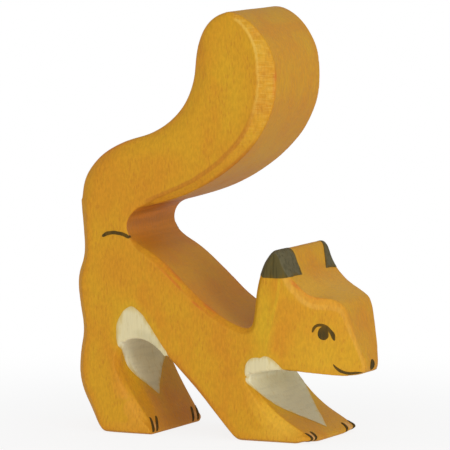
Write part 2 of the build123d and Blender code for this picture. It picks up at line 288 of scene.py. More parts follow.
class SquirrelPaint(PropertyGroup):
    """Thickness and colours of the paint."""

    coat: FloatProperty(
        name="Coat", description="Thickness of the paint", default=0.06 * MM, unit="LENGTH", precision=5
    )
    wobble: FloatProperty(
        name="Wobble", description="How far a brush strays from its line",
        default=0.12 * MM, unit="LENGTH", precision=5,
    )
    white: FloatVectorProperty(
        name="White", description="White paint, full coat", default=(0.70, 0.61, 0.36), subtype="COLOR"
    )
    # The white as painted shade, for faces that don't look out of a flank.
    white_in_shade: FloatVectorProperty(
        name="Inner white", description="White paint, thicker in the hollows",
        default=(0.69, 0.64, 0.44), subtype="COLOR",
    )
    # The white as painted shade, for the strip along the edge of the arch.
    white_arch_shade: FloatVectorProperty(
        name="Smeared", description="White paint greyed by the edge of the arch",
        default=(0.47, 0.42, 0.25), subtype="COLOR",
    )
    thin_white: FloatVectorProperty(
        name="Thin white", description="White paint over the stain",
        default=(0.60, 0.46, 0.18), subtype="COLOR",
    )
    dark: FloatVectorProperty(
        name="Dark", description="Dark paint, full coat", default=(0.070, 0.047, 0.015), subtype="COLOR"
    )
    thin_dark: FloatVectorProperty(
        name="Thin dark", description="Dark paint over the stain",
        default=(0.14, 0.075, 0.012), subtype="COLOR",
    )
    ear: FloatVectorProperty(
        name="Ear", description="Dark wash on the ears", default=(0.105, 0.083, 0.030), subtype="COLOR"
    )
    # The dark wash greyer and lighter on the front of the ears, as painted sheen.
    ear_with_sheen: FloatVectorProperty(
        name="Inner ear", description="Dark wash, greyer on the front of the ears",
        default=(0.120, 0.104, 0.056), subtype="COLOR",
    )
    thin_ear: FloatVectorProperty(
        name="Thin ear", description="Dark wash where it is thinnest",
        default=(0.145, 0.092, 0.018), subtype="COLOR",
    )


class SquirrelStage(PropertyGroup):
    """Camera and lights of the studio."""

    azimuth: FloatProperty(
        name="Azimuth", description="Camera's turn from the right flank",
        default=radians(24.797), subtype="ANGLE",
    )
    elevation: FloatProperty(
        name="Elevation", description="Camera's height above the level",
        default=radians(5.477), subtype="ANGLE",
    )
    distance: FloatProperty(
        name="Distance", description="Camera to the figure", default=1.0078, unit="LENGTH"
    )
    lens: FloatProperty(name="Lens", description="Focal length in millimetres", default=427.93)
    target: FloatVectorProperty(
        name="Target", description="Point in the middle of the picture",
        default=(-0.00245, 0.0, 0.039155), subtype="XYZ",
    )
    key: FloatProperty(name="Key", description="Power of the front softbox", default=3.2, unit="POWER")
    side: FloatProperty(
        name="Side", description="Power of the softbox before the nose", default=2.6, unit="POWER"
    )
    surround: FloatProperty(name="Surround", description="Strength of the white surround", default=0.60)
    table: FloatProperty(
        name="Table", description="Glow of the white table that the figure stands on", default=0.36
    )


def eased(value, low, high):
    """Rises smoothly from zero to one between two values."""
    share = min(max((value - low) / (high - low), 0), 1)
    return share * share * (3 - 2 * share)


def head_half_width(x):
    """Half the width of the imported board's head along it, in millimetres: straight, then an arc."""
    start, middle, radius, inset = 13.3, 11.047, 21.378, 9.758
    return HEAD_HALF_WIDTH if x < start else (radius**2 - (x - middle) ** 2) ** 0.5 - inset


def rear_of_tail(z):
    """A place between the tail's front and rear facets at a height, in millimetres."""
    slope, root_x, root_z, top_x = 0.83, -14, 47.9, 2.7
    return min(slope * (z - root_z) + root_x, top_x)


def new_object(name, data):
    """A mesh, curve, lamp or camera as an object of the scene, at the origin."""
    thing = bpy.data.objects.new(name, data)
    bpy.context.scene.collection.objects.link(thing)
    return thing


def settle(thing):
    """Bakes an object's modifiers into its mesh."""
    graph = bpy.context.evaluated_depsgraph_get()
    mesh = bpy.data.meshes.new_from_object(thing.evaluated_get(graph))
    thing.modifiers.clear()
    thing.data = mesh
    mesh.name = thing.name


def dismiss(*things):
    """Takes helper objects out of the scene again."""
    for thing in things:
        bpy.data.objects.remove(thing)


def positions(mesh):
    """The mesh's points as rows of an array."""
    flat = np.empty(len(mesh.vertices) * 3)
    mesh.vertices.foreach_get("co", flat)
    return flat.reshape(-1, 3)


def normals_of(mesh):
    """The directions that the mesh's points face, as rows of an array."""
    flat = np.empty(len(mesh.vertices) * 3)
    mesh.vertex_normals.foreach_get("vector", flat)
    return flat.reshape(-1, 3)


def store(mesh, name, values):
    """Keeps one number per point for the materials to read."""
    layer = mesh.attributes.new(name, "FLOAT", "POINT")
    layer.data.foreach_set("value", values.astype(np.float32))


def nearness(mesh, source, reach):
    """One at the source's points, falling to zero at the reach."""
    tree = KDTree(len(source))
    for i, point in enumerate(source):
        tree.insert(point, i)
    tree.balance()
    gaps = np.array([tree.find(point)[2] for point in positions(mesh)])
    return np.clip(1 - gaps / reach, 0, 1)


def edge_points(bm, low, high):
    """Points along the edges that bend between two angles, closely spaced."""
    found = []
    for edge in bm.edges:
        if low < edge.calc_face_angle(0) <= high:
            first, last = (v.co for v in edge.verts)
            steps = max(1, round(edge.calc_length() / (0.2 * MM)))
            found += [first.lerp(last, (i + 0.5) / steps) for i in range(steps)]
    return found


def rub(bm, points, passes):
    """Passes of sandpaper over some of the points."""
    axes = {"use_axis_x": True, "use_axis_y": True, "use_axis_z": True}
    for _ in range(passes):
        bmesh.ops.smooth_vert(bm, verts=points, factor=0.5, **axes)


def stencil(name, corners, depth, front=False, tip=False):
    """A prism whose rim is a smooth curve between the corners, seen on a flank or from the front."""
    curve = bpy.data.curves.new(name, "CURVE")
    curve.dimensions = "2D"
    curve.fill_mode = "BOTH"
    curve.resolution_u = 8
    curve.extrude = (depth[1] - depth[0]) / 2
    rim = curve.splines.new("NURBS")
    places = [corners[0], *corners] if tip else corners
    rim.points.add(len(places) - 1)
    for point, (across, up) in zip(rim.points, places):
        point.co = (across * MM, up * MM, 0, 1)
    rim.use_cyclic_u = True
    rim.order_u = 3
    helper = new_object(name, curve)
    prism = new_object(name, bpy.data.meshes.new_from_object(helper))
    dismiss(helper)
    stand = Matrix.Rotation(radians(90), 4, "X")
    turn = Matrix.Rotation(radians(90), 4, "Z") if front else Matrix.Identity(4)
    middle = (depth[0] + depth[1]) / 2
    place = Matrix.Translation((middle, 0, 0) if front else (0, middle, 0))
    bm = bmesh.new()
    bm.from_mesh(prism.data)
    bmesh.ops.transform(bm, matrix=place @ turn @ stand, verts=bm.verts)
    bmesh.ops.remove_doubles(bm, verts=bm.verts, dist=1e-6)
    bmesh.ops.recalc_face_normals(bm, faces=bm.faces)
    bm.to_mesh(prism.data)
    bm.free()
    return prism


def stray(prism, wobble, seed):
    """Lets a stencil's rim wander a little, as a brush does, and the same way each time."""
    noise.seed_set(seed)
    for point in prism.data.vertices:
        x, y, z = point.co
        shift = noise.noise_vector(Vector((x, 0.2 * y, z)) * 900 + Vector((seed, 0, 0)))
        point.co += wobble * shift


def combine(thing, other, operation):
    """Cuts, joins or intersects an object with another."""
    tool = thing.modifiers.new(operation, "BOOLEAN")
    tool.operation = operation
    tool.solver = "MANIFOLD"
    tool.object = other
    settle(thing)


def body_coat(thickness):
    """The body grown by the thickness of the paint."""
    mesh = bpy.data.objects["carved_wood"].data.copy()
    mesh.vertices.foreach_set("co", (positions(mesh) + thickness * normals_of(mesh)).ravel())
    return new_object("coat", mesh)


def paint_mark(name, node, prisms, material):
    """Brushes one mark: the coat inside the stencils, less the wood below. Returns points along its rim."""
    paint = bpy.context.scene.squirrel_paint
    mark = prisms[0]
    mark.name = name
    for prism in prisms:
        stray(prism, paint.wobble, len(name))
    for prism in prisms[1:]:
        combine(mark, prism, "UNION")
    sides = [side.vertices[:] for side in mark.data.polygons]
    cutter = BVHTree.FromPolygons([v.co for v in mark.data.vertices], sides)
    coat = body_coat(paint.coat)
    combine(mark, coat, "INTERSECT")
    combine(mark, bpy.data.objects["carved_wood"], "DIFFERENCE")
    dismiss(coat, *prisms[1:])
    mesh = mark.data
    if not mesh.polygons:
        raise RuntimeError(f"{name} came out empty")
    mesh.name = name
    mesh.shade_smooth()
    mesh.set_sharp_from_angle(angle=radians(50))
    touching, rim_reach = 0.005 * MM, 0.9 * MM
    rim = [v.co.copy() for v in mesh.vertices if cutter.find_nearest(v.co)[3] < touching]
    store(mesh, "rim", nearness(mesh, rim, rim_reach))
    mesh.materials.clear()
    mesh.materials.append(material)
    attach(mark, "root")
    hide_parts(node)
    return rim


def shade(tree, kind, inputs=(), **settings):
    """A shader node with its settings, its numbers and its links."""
    made = tree.nodes.new(kind)
    for name, value in settings.items():
        setattr(made, name, value)
    for socket, value in dict(inputs).items():
        if isinstance(value, bpy.types.NodeSocket):
            tree.links.new(value, made.inputs[socket])
        else:
            made.inputs[socket].default_value = value
    return made


def blend(tree, share, first, second, how="MIX"):
    """Mixes two colours."""
    colours = [value if isinstance(value, bpy.types.NodeSocket) else (*value, 1) for value in (first, second)]
    inputs = {0: share, 6: colours[0], 7: colours[1]}
    return shade(tree, "ShaderNodeMix", inputs, data_type="RGBA", blend_type=how).outputs[2]


def ramp(tree, value, low, high, start=0.0, end=1.0):
    """Eases a value from one range to another."""
    inputs = {0: value, 1: low, 2: high, 3: start, 4: end}
    return shade(tree, "ShaderNodeMapRange", inputs, interpolation_type="SMOOTHSTEP").outputs[0]


def math(tree, how, first, second):
    """Arithmetic on two values."""
    return shade(tree, "ShaderNodeMath", {0: first, 1: second}, operation=how).outputs[0]


def times(tree, first, *others):
    """Multiplies values with each other."""
    for other in others:
        first = math(tree, "MULTIPLY", first, other)
    return first


def darken(tree, colour, value):
    """Multiplies a colour by a value."""
    grey = shade(tree, "ShaderNodeCombineXYZ", {0: value, 1: value, 2: value}).outputs[0]
    return blend(tree, 1.0, colour, grey, "MULTIPLY")


def mottle(tree, vector, scale, detail=2.0, rough=0.5):
    """Noise along a vector."""
    inputs = {"Vector": vector, "Scale": scale, "Detail": detail, "Roughness": rough}
    return shade(tree, "ShaderNodeTexNoise", inputs).outputs[0]


def stretched(tree, vector, shrink):
    """The vector with each axis shrunk, so that a pattern grows long along it."""
    return shade(tree, "ShaderNodeVectorMath", {0: vector, 1: shrink}, operation="MULTIPLY").outputs[0]


def own_number(tree, name):
    """A number that the mesh keeps at each point."""
    return shade(tree, "ShaderNodeAttribute", attribute_name=name).outputs["Fac"]


def start_group(name, numbers, results):
    """A node group with its named numbers and results, and the sockets that bring the numbers in."""
    tree = bpy.data.node_groups.new(name, "ShaderNodeTree")
    for label, default in numbers.items():
        socket = tree.interface.new_socket(label, in_out="INPUT", socket_type="NodeSocketFloat")
        socket.default_value = default
    for label in results:
        tree.interface.new_socket(label, in_out="OUTPUT", socket_type="NodeSocketFloat")
    return tree, tree.nodes.new("NodeGroupInput").outputs


def end_group(tree, results):
    """Links a node group's results to its output."""
    out = tree.nodes.new("NodeGroupOutput")
    for label, value in results.items():
        tree.links.new(value, out.inputs[label])
    return tree


def grain_group():
    """Upright wood grain: fine fibres, short pores, and a height for both."""
    known = bpy.data.node_groups.get("Upright grain")
    if known:
        return known
    numbers = {"Fibres per metre": 2600.0, "Pores per metre": 1900.0, "Length": 2.8}
    tree, given = start_group("Upright grain", numbers, ("Fibres", "Pores", "Height"))
    place = shade(tree, "ShaderNodeTexCoord").outputs["Object"]
    along = math(tree, "DIVIDE", 1.0, given["Length"])
    upright = shade(tree, "ShaderNodeCombineXYZ", {0: 1.0, 1: 1.0, 2: along}).outputs[0]
    vector = stretched(tree, place, upright)
    fibres = mottle(tree, vector, given["Fibres per metre"], 3.0, 0.6)
    often = given["Pores per metre"]
    spots = shade(tree, "ShaderNodeTexVoronoi", {"Vector": vector, "Scale": often}).outputs[0]
    dense = ramp(tree, mottle(tree, vector, times(tree, often, 0.3), 1.0), 0.4, 0.62)
    pores = times(tree, ramp(tree, spots, 0.42, 0.16), dense)
    height = math(tree, "SUBTRACT", times(tree, fibres, 0.5), pores)
    return end_group(tree, {"Fibres": fibres, "Pores": pores, "Height": height})


def brush_group():
    """Marks of a brush drawn upright: streaks of thinner paint, thinnest at its rim."""
    known = bpy.data.node_groups.get("Brush marks")
    if known:
        return known
    numbers = {"Bristles per metre": 900.0, "Dry rim": 0.5}
    tree, given = start_group("Brush marks", numbers, ("Streaks", "Bristles", "Thin"))
    place = shade(tree, "ShaderNodeTexCoord").outputs["Object"]
    vector = stretched(tree, place, (1.0, 1.0, 0.16))
    streaks = mottle(tree, vector, given["Bristles per metre"], 3.0, 0.65)
    fine = stretched(tree, place, (1.0, 1.0, 0.07))
    bristles = mottle(tree, fine, times(tree, given["Bristles per metre"], 2.6), 1.0)
    dry = times(tree, own_number(tree, "rim"), given["Dry rim"])
    thin = ramp(tree, math(tree, "ADD", streaks, dry), 0.55, 0.95)
    return end_group(tree, {"Streaks": streaks, "Bristles": bristles, "Thin": thin})


def use_group(tree, group, **numbers):
    """Places a node group with its own numbers."""
    made = tree.nodes.new("ShaderNodeGroup")
    made.node_tree = group
    for name, value in numbers.items():
        made.inputs[name.replace("_", " ")].default_value = value
    return made.outputs


def blank_material(name):
    """A material and its tree, with only the output in it."""
    material = bpy.data.materials.new(name)
    material.use_nodes = True
    material.node_tree.nodes.clear()
    return material, material.node_tree


def finish_material(tree, colour, roughness, height, specular):
    """Ends a material in its shader, with a bump from the height."""
    inputs = {"Strength": 1.0, "Distance": GRAIN_DEPTH * MM, "Height": height}
    bump = shade(tree, "ShaderNodeBump", inputs).outputs[0]
    inputs = {"Base Color": colour, "Roughness": roughness, "Normal": bump, "Specular IOR Level": specular}
    shader = shade(tree, "ShaderNodeBsdfPrincipled", inputs)
    shade(tree, "ShaderNodeOutputMaterial", {"Surface": shader.outputs[0]})


def patch(tree, place, centre, size):
    """One in the middle of a patch of stain, zero beyond its size."""
    middle = [MM * c for c in centre]
    offset = shade(tree, "ShaderNodeVectorMath", {0: place, 1: middle}, operation="SUBTRACT").outputs[0]
    scaled = stretched(tree, offset, [1 / (MM * s) for s in size])
    length = shade(tree, "ShaderNodeVectorMath", {0: scaled}, operation="LENGTH").outputs["Value"]
    return ramp(tree, length, 1.0, 0.2)


def any_patch(tree, place, patches):
    """One in the middle of any of the patches."""
    first, *others = [patch(tree, place, middle, reach) for middle, reach in patches]
    for other in others:
        first = math(tree, "MAXIMUM", first, other)
    return first


def surface(tree):
    """Where each point is, its way along each axis, which way it faces and how squarely out of a flank."""
    place = shade(tree, "ShaderNodeTexCoord").outputs["Object"]
    along = shade(tree, "ShaderNodeSeparateXYZ", {0: place}).outputs
    normal = shade(tree, "ShaderNodeNewGeometry").outputs["Normal"]
    facing = shade(tree, "ShaderNodeSeparateXYZ", {0: normal}).outputs
    across = math(tree, "ABSOLUTE", facing[1], 0.0)
    return SimpleNamespace(place=place, along=along, facing=facing, across=across)


def lay(tree, palette, look, colour, patches, *masks):
    """Lays patches of other colours of the palette over a colour, where the masks let them."""
    for name, middle, reach, share in patches:
        strength = times(tree, patch(tree, look.place, middle, reach), share, *masks)
        colour = blend(tree, strength, colour, getattr(palette, name))
    return colour


def uneven_stain(tree, wood, look):
    """Golden stain with clouds of orange, streaks of yellow and the patches that the hand left."""
    colour = blend(tree, ramp(tree, look.cloud, 0.38, 0.70), wood.golden, wood.orange)
    colour = blend(tree, ramp(tree, look.streak, 0.5, 0.8, 0.0, 0.35), colour, wood.yellow)
    colour = lay(tree, wood, look, colour, STAINS)
    return blend(tree, times(tree, own_number(tree, "halo"), 0.6), colour, wood.yellow)


def soaked_stain(tree, wood, look, colour):
    """Browner stain in the end grain along the back, and patches on the faces that were sawn."""
    up = math(tree, "ABSOLUTE", look.facing[2], 0.0)
    end_grain = ramp(tree, up, 0.35, 0.95, 0.0, 0.18)
    behind = ramp(tree, look.along[0], 11 * MM, 9 * MM)
    below = ramp(tree, look.along[2], 60 * MM, 50 * MM)
    colour = blend(tree, times(tree, end_grain, behind, below), colour, wood.brown)
    return lay(tree, wood, look, colour, SOAKED, look.inward)


def stained_edges(tree, wood, look, colour):
    """Orange along the edges and red in places, painted highlight on the edge facets of the legs, pale
    between the claws.
    """
    edge = own_number(tree, "edge")
    where = mottle(tree, look.place, 170.0, 2.0)
    rear = ramp(tree, look.along[0], 9 * MM, 3 * MM, 0.4, 1.0)
    wide = times(tree, ramp(tree, edge, 0.1, 0.9), ramp(tree, where, 0.34, 0.62, 0.2, 0.85), rear)
    colour = blend(tree, wide, colour, wood.orange)
    # Painted highlight on the edge facets of the legs.
    highlight_band = times(tree, ramp(tree, look.across, 0.5, 0.75), ramp(tree, edge, 0.04, 0.3))
    colour = lay(tree, wood, look, colour, LIT_EDGE_BANDS, highlight_band)
    colour = lay(tree, wood, look, colour, NAILS)
    reds = times(tree, any_patch(tree, look.place, RED_EDGES), ramp(tree, look.across, 0.97, 0.9))
    line = times(tree, ramp(tree, edge, 0.66, 0.86), reds, ramp(tree, where, 0.44, 0.54, 0.15, 0.75))
    return blend(tree, line, colour, wood.red)


def stained_tail(tree, wood, look, colour):
    """A crease along the tail's facet with a pale line of painted highlight above and brown below, saw cuts
    on it, and painted shade low on the facet and in dark lines along the edges under it and behind the
    forelegs.
    """
    height = look.along[2]
    crease = own_number(tree, "crease")
    front = times(tree, ramp(tree, look.along[0], 2 * MM, 6 * MM), ramp(tree, height, 58 * MM, 66 * MM))
    # Painted highlight: a pale line along the crease.
    pale = times(tree, ramp(tree, crease, 0.80, 0.94), front, ramp(tree, look.cloud, 0.3, 0.6, 0.55, 0.3))
    colour = blend(tree, pale, colour, wood.bare_and_highlight)
    low = times(tree, ramp(tree, height, 64 * MM, 57 * MM, 0.0, 0.75), ramp(tree, height, 43 * MM, 45 * MM))
    colour = blend(tree, times(tree, ramp(tree, crease, 0.68, 0.88), low), colour, wood.brown)
    facet = own_number(tree, "facet")
    cuts = mottle(tree, stretched(tree, look.place, (0.1, 0.1, 1.0)), 4600.0, 1.0)
    upper = ramp(tree, height, 48 * MM, 66 * MM)
    sawn = times(tree, facet, upper, ramp(tree, cuts, 0.40, 0.68, 0.03, 0.30))
    colour = blend(tree, sawn, colour, wood.bare_and_highlight)
    # Painted shade on the lower part of the facet, which faces down.
    under = times(tree, facet, ramp(tree, height, 62 * MM, 52 * MM, 0.0, 0.2))
    edge = ramp(tree, own_number(tree, "edge"), 0.62, 0.82, 0.0, 0.95)
    # Painted shade along the edges under the tail and behind the forelegs.
    line = times(tree, edge, any_patch(tree, look.place, SHADED_EDGES))
    return blend(tree, math(tree, "MAXIMUM", under, line), colour, wood.brown)


def stained_head(tree, wood, look, colour):
    """Bright stain on the facet of the brow, a painted highlight along its lower edge and red above, and a
    pale line of painted highlight on the crease behind the cheek.
    """
    brow = ramp(tree, own_number(tree, "brow"), 0.2, 0.7, 0.0, 0.5)
    colour = blend(tree, brow, colour, wood.brow_stain)
    # Painted highlight along the lower edge of the brow's facet.
    low = ramp(tree, own_number(tree, "brow_low"), 0.1, 0.8)
    painted_light = times(tree, low, ramp(tree, look.streak, 0.35, 0.65, 0.05, 0.22))
    colour = blend(tree, painted_light, colour, wood.bare_and_highlight)
    top = ramp(tree, own_number(tree, "brow_top"), 0.1, 0.8)
    rear = ramp(tree, look.along[0], 23 * MM, 19 * MM)
    reddish = times(tree, top, ramp(tree, look.streak, 0.38, 0.62, 0.05, 0.6), rear)
    colour = blend(tree, reddish, colour, wood.red)
    # Painted highlight: a pale line on the crease behind the cheek.
    start, end = CREASE_Z * MM, (CREASE_Z + CREASE_RISE) * MM
    crease = ramp(tree, look.along[2], start, end, CREASE_X * MM, (CREASE_X + CREASE_LEAN) * MM)
    beside = math(tree, "ABSOLUTE", math(tree, "SUBTRACT", look.along[0], crease), 0.0)
    ridge = times(tree, ramp(tree, beside, 0.45 * MM, 0.1 * MM), ramp(tree, look.along[2], 16 * MM, 18 * MM))
    ridge = times(tree, ridge, ramp(tree, look.across, 0.8, 0.95, 0.0, 0.6))
    return blend(tree, ridge, colour, wood.yellow)


def wood_marks(tree, wood, look, colour, grain):
    """Fibres and pores over the stain, and the lines that the saw left in the crook of the tail, lighter and
    darker as painted light and shade of the cuts.
    """
    colour = darken(tree, colour, ramp(tree, grain["Fibres"], 0.3, 0.7, 0.90, 1.07))
    saw = mottle(tree, stretched(tree, look.place, (1.0, 0.07, 1.0)), 620.0, 3.0, 0.6)
    crook = times(tree, look.inward, patch(tree, look.place, *SAW_CUTS_AND_SHADE))
    # Saw lines, lighter and darker as painted light and shade of the cuts.
    colour = blend(tree, crook, colour, darken(tree, colour, ramp(tree, saw, 0.35, 0.65, 0.84, 1.18)))
    return blend(tree, times(tree, grain["Pores"], 0.35), colour, wood.brown)


def stained_wood(wood):
    """Orange stain on close-grained wood, uneven by hand, redder at the edges and browner in end grain."""
    material, tree = blank_material("grained_wood")
    grain = use_group(tree, grain_group())
    look = surface(tree)
    look.cloud = mottle(tree, stretched(tree, look.place, (1.0, 1.0, 0.6)), 130.0, 3.0, 0.55)
    look.streak = mottle(tree, stretched(tree, look.place, (1.0, 1.0, 0.35)), 620.0, 3.0, 0.6)
    look.inward = ramp(tree, look.across, 0.9, 0.4)
    colour = uneven_stain(tree, wood, look)
    for step in (soaked_stain, stained_edges, stained_tail, stained_head):
        colour = step(tree, wood, look, colour)
    colour = wood_marks(tree, wood, look, colour, grain)
    rough = ramp(tree, grain["Fibres"], 0.2, 0.8, 0.48, 0.62)
    finish_material(tree, colour, rough, grain["Height"], 0.15)
    return material


def brushed_paint(name, full, inner, thin, dry, rough, lines, specular):
    """Thin paint from a brush with the stain and the grain showing through it, and painted shade and sheen on
    faces that don't look out of a flank.
    """
    material, tree = blank_material(name)
    grain = use_group(tree, grain_group())
    brush = use_group(tree, brush_group(), Dry_rim=dry)
    look = surface(tree)
    # Faces that don't look out of a flank take the second colour, painted as shade, or as sheen on the ears.
    off_flank = ramp(tree, look.across, 0.85, 0.55)
    # Painted shade and light: darker low down and at the hind leg, lighter higher up.
    painted_light = ramp(tree, look.along[2], 6 * MM, 12.5 * MM, 0.81, 1.11)
    painted_light = times(tree, painted_light, ramp(tree, look.along[0], -9 * MM, -6 * MM, 0.95, 1.0))
    colour = blend(tree, off_flank, full, darken(tree, inner, painted_light))
    colour = blend(tree, brush["Thin"], colour, thin)
    # Painted shade along the edge of the arch.
    colour = lay(tree, bpy.context.scene.squirrel_paint, look, colour, ARCH_SHADE)
    colour = blend(tree, times(tree, grain["Pores"], 0.25), colour, thin)
    across = mottle(tree, stretched(tree, look.place, (1.0, 0.12, 1.0)), 1300.0, 2.0)
    across = ramp(tree, times(tree, across, off_flank), 0.46, 0.66, 1.0, 0.93)
    bristles = ramp(tree, brush["Bristles"], 0.45, 0.7, 1.0, lines)
    colour = darken(tree, colour, times(tree, across, bristles))
    roughness = ramp(tree, brush["Streaks"], 0.2, 0.8, rough, rough + 0.15)
    relief = math(tree, "ADD", times(tree, brush["Streaks"], 0.8), grain["Height"])
    finish_material(tree, colour, roughness, relief, specular)
    return material


def paint_material(name):
    """The white paint, the dark paint or the dark wash of the ears, made once."""
    paint = bpy.context.scene.squirrel_paint
    known = bpy.data.materials.get(name)
    if known:
        return known
    if name == "brushed_white":
        return brushed_paint(name, paint.white, paint.white_in_shade, paint.thin_white, 0.35, 0.6, 0.95, 0.12)
    if name == "ear_wash":
        return brushed_paint(name, paint.ear, paint.ear_with_sheen, paint.thin_ear, 0.3, 0.7, 0.72, 0.04)
    return brushed_paint(name, paint.dark, paint.dark, paint.thin_dark, 0.25, 0.7, 0.85, 0.04)


class SquirrelCarveBody(Operator):
    """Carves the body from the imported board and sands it."""

    bl_idname = "squirrel.carve_body"
    bl_label = "Carve the body"

    def execute(self, context):
        wood = context.scene.squirrel_wood
        bm = bmesh.new()
        bm.from_mesh(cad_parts["carved_body"].data)
        bmesh.ops.remove_doubles(bm, verts=bm.verts, dist=1e-6)
        mesh = bpy.data.meshes.new("carved_wood")
        bm.to_mesh(mesh)
        sharp = edge_points(bm, radians(35), radians(120))
        bm.free()
        body = new_object("carved_wood", mesh)
        grid = body.modifiers.new("Grid", "REMESH")
        grid.mode = "VOXEL"
        grid.voxel_size = wood.grid
        settle(body)
        brow, brow_low, brow_top = self.carve_head(body.data, wood.brow)
        self.narrow_tail_edge(body.data)
        self.round_toes(body.data)
        self.ease_hind_leg(body.data)
        self.fill_nape(body.data)
        self.crisp_arches(body.data)
        self.sand(body.data, wood)
        fewer = body.modifiers.new("Fewer", "DECIMATE")
        fewer.ratio = min(1.0, wood.faces / (2 * len(body.data.polygons)))
        settle(body)
        mesh = body.data
        mesh.shade_smooth()
        store(mesh, "edge", nearness(mesh, sharp, 2 * MM))
        store(mesh, "brow", nearness(mesh, brow, 0.5 * MM))
        store(mesh, "brow_low", nearness(mesh, brow_low, 0.6 * MM))
        store(mesh, "brow_top", nearness(mesh, brow_top, 0.6 * MM))
        facet, crease = self.tail_facet(mesh)
        store(mesh, "facet", facet)
        store(mesh, "crease", nearness(mesh, crease, 2 * MM))
        mesh.materials.clear()
        mesh.materials.append(stained_wood(wood))
        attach(body, "root")
        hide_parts("carved_body")
        return {"FINISHED"}

    def carve_head(self, mesh, brow):
        """Slants the crease behind the cheek and cuts the brow. Returns the cut's points and two edges."""
        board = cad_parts["carved_body"].data
        tops = [p for p in board.polygons if abs(p.normal.y) < 0.2 and p.normal.z + p.normal.x > 0.4]
        profile = BVHTree.FromPolygons([v.co for v in board.vertices], [list(p.vertices) for p in tops])
        cut, low_edge, top_edge = [], [], []
        for v in mesh.vertices:
            x, y, z = v.co / MM
            crease = CREASE_X + CREASE_LEAN * min(max((z - CREASE_Z) / CREASE_RISE, 0), 1)
            if x < crease or z < 11 or x + z > 62:
                continue
            long = NOSE_X - crease
            share = min((x - crease) / long, 1)
            half = self.half_width(share, z)
            v.co.y *= half / head_half_width(x)
            _, normal, _, gap = profile.find_nearest(v.co)
            slope = (half - self.half_width(share + 0.01, z)) / (0.01 * long)
            side = Vector((slope, 1 if y > 0 else -1, 0)).normalized()
            inside = (half * MM - abs(v.co.y)) * abs(side.y)
            set_back = MUZZLE_SET_BACK * MM * (0.6 + 0.4 * eased(z, 13, 19)) * eased(28 - z, 0, 3)
            v.co.x -= set_back * share**2
            narrowing = max(0, (share - 0.65) / 0.35)
            on_top = brow * (0.09 + 0.31 * min(share / 0.45, 1) - 0.28 * narrowing)
            on_side = brow * (1 - 0.65 * narrowing)
            short = 1 - inside / on_top - gap / on_side
            lean = eased(x, 15, 19.5) * eased(23.5 - x, 0, 3.5) * eased(z, 20, 26)
            drop = Vector((0, 0, FOREHEAD_DROP * MM * lean * min(max(-y / 9, 0), 1) ** 1.5))
            if short > 0:
                stretch = 1 / on_top**2 + 1 / on_side**2 + 2 * side.dot(normal) / (on_top * on_side)
                v.co -= short / stretch * (side / on_top + normal / on_side)
                cut.append(v.co - drop)
                if short < 0.25:
                    edge = low_edge if gap / on_side > inside / on_top else top_edge
                    edge.append(v.co - drop)
            v.co -= drop
        return cut, low_edge, top_edge

    def half_width(self, share, z):
        """Half the width of the carved head, along its length and at a height, in millimetres."""
        narrower = MUZZLE_NARROWING * (0.35 * share + 0.65 * share**3)
        fuller = MUZZLE_FULLNESS * eased(share, 0.55, 0.9) * eased(z, 13, 19)
        return HEAD_HALF_WIDTH - narrower + fuller

    def round_toes(self, mesh):
        """Cuts the upright corners of the fore toes and lifts them a little off the floor."""
        for v in mesh.vertices:
            x, y, z = v.co / MM
            if x < 14 or z > 4:
                continue
            front = np.interp(z, (0, 0.45, 1.6, 3.85), (19.0, 19.95, 19.2, 15.45))
            limit = FLANK - TOE_CUT * MM * min(max((x - front + TOE_CUT_RUN) / TOE_CUT_RUN, 0), 1)
            v.co.y = min(max(v.co.y, -limit), limit)
            v.co.z += TOE_LIFT * MM * eased(x, 16.5, 19) * eased(abs(y), 5, 11) * max(1 - z / 2, 0)

    def ease_hind_leg(self, mesh):
        """Carves the right edge of the hind leg's front further back under the arch."""
        for v in mesh.vertices:
            x, y, z = v.co / MM
            front = -10.3 - 0.52 * z
            if y > -6 or not 0 < z < 16 or not front - 4 < x < front + 3.5:
                continue
            depth = HIND_LEG_EASE * eased(z, 0, 11) * eased(15.8 - z, 0, 4)
            v.co.x -= depth * MM * eased(-y, 6, 10.5) * eased(x, front - 4, front - 0.5)

    def fill_nape(self, mesh):
        """Leaves a little more wood behind the ears."""
        for v in mesh.vertices:
            x, _, z = v.co / MM
            if 5 < x < 15 and 20 < z < 36.5:
                filled = NAPE_FILL * MM * eased(z, 20, 26) * eased(36.5 - z, 0, 3.5)
                v.co.x -= filled * eased(15 - x, 0, 6)

    def narrow_tail_edge(self, mesh):
        """Lets the carved edge of the tail run out towards its top, and narrows it towards its root."""
        rim = FLANK - TAIL_EDGE * MM
        for v in mesh.vertices:
            x, y, z = v.co / MM
            if 43 < z < 62 and abs(v.co.y) > rim and x > rear_of_tail(z):
                steeper = np.interp(z, (43, 48, 53, 62), (1.0, 1.9, 1.45, 1.0))
                wider = min(rim + (abs(v.co.y) - rim) * steeper, FLANK)
                v.co.y = wider if y > 0 else -wider
            rise = min(max((v.co.z / MM - 70) / 9, 0), 1)
            if rise > 0:
                out = abs(v.co.y)
                growth = TAIL_TOP_WIDENING * MM * rise
                wider = out * (rim + growth) / rim if out < rim else min(out + growth, FLANK)
                v.co.y = wider if y > 0 else -wider

